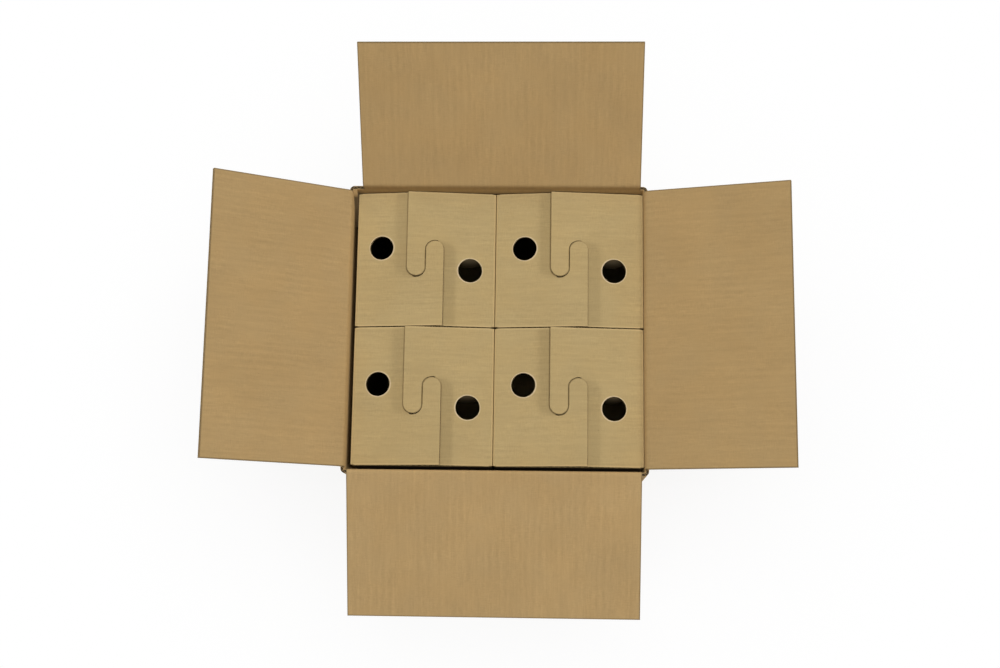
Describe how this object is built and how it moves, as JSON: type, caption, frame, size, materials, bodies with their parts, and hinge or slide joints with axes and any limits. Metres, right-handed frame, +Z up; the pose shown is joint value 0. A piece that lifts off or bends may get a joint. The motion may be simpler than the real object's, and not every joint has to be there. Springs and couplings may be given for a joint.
{
  "type": "corrugated bottle shipper",
  "caption": "Open corrugated carton with hinged top flaps, holding corrugated bottle boxes closed by S-shaped locking lids with finger holes.",
  "frame": {"origin": "centre of the carton's base, on the face it rests on", "axes": "+Z up out of the open top, +Y to the rear wall that carries the flap beside the glued joint, +X to the right wall"},
  "size_m": [0.6323, 0.6217, 0.4347],
  "materials": {
    "carton_board": "matte brown kraft corrugated board",
    "insert_board": "matte pale kraft corrugated board"
  },
  "bodies": {
    "carton": {"carton_body": "carton_board", "insert_rear_left": "insert_board", "insert_rear_right": "insert_board", "insert_front_left": "insert_board", "insert_front_right": "insert_board"},
    "left_flap": {"flap_left": "carton_board"},
    "right_flap": {"flap_right": "carton_board"},
    "front_flap": {"flap_front": "carton_board"},
    "rear_flap": {"flap_rear": "carton_board"}
  },
  "joints": [
    {"name": "left_crease", "type": "hinge", "parent": "carton", "child": "left_flap", "pos_m": [-0.17025, 0, 0.3438], "axis": [0, 1, 0], "range_deg": [-119, 149]},
    {"name": "right_crease", "type": "hinge", "parent": "carton", "child": "right_flap", "pos_m": [0.17025, 0, 0.3438], "axis": [0, -1, 0], "range_deg": [-104, 164]},
    {"name": "front_crease", "type": "hinge", "parent": "carton", "child": "front_flap", "pos_m": [0, -0.16465, 0.3482], "axis": [-1, 0, 0], "range_deg": [-71, 197]},
    {"name": "rear_crease", "type": "hinge", "parent": "carton", "child": "rear_flap", "pos_m": [0, 0.16465, 0.3482], "axis": [1, 0, 0], "range_deg": [-119, 149]}
  ]
}
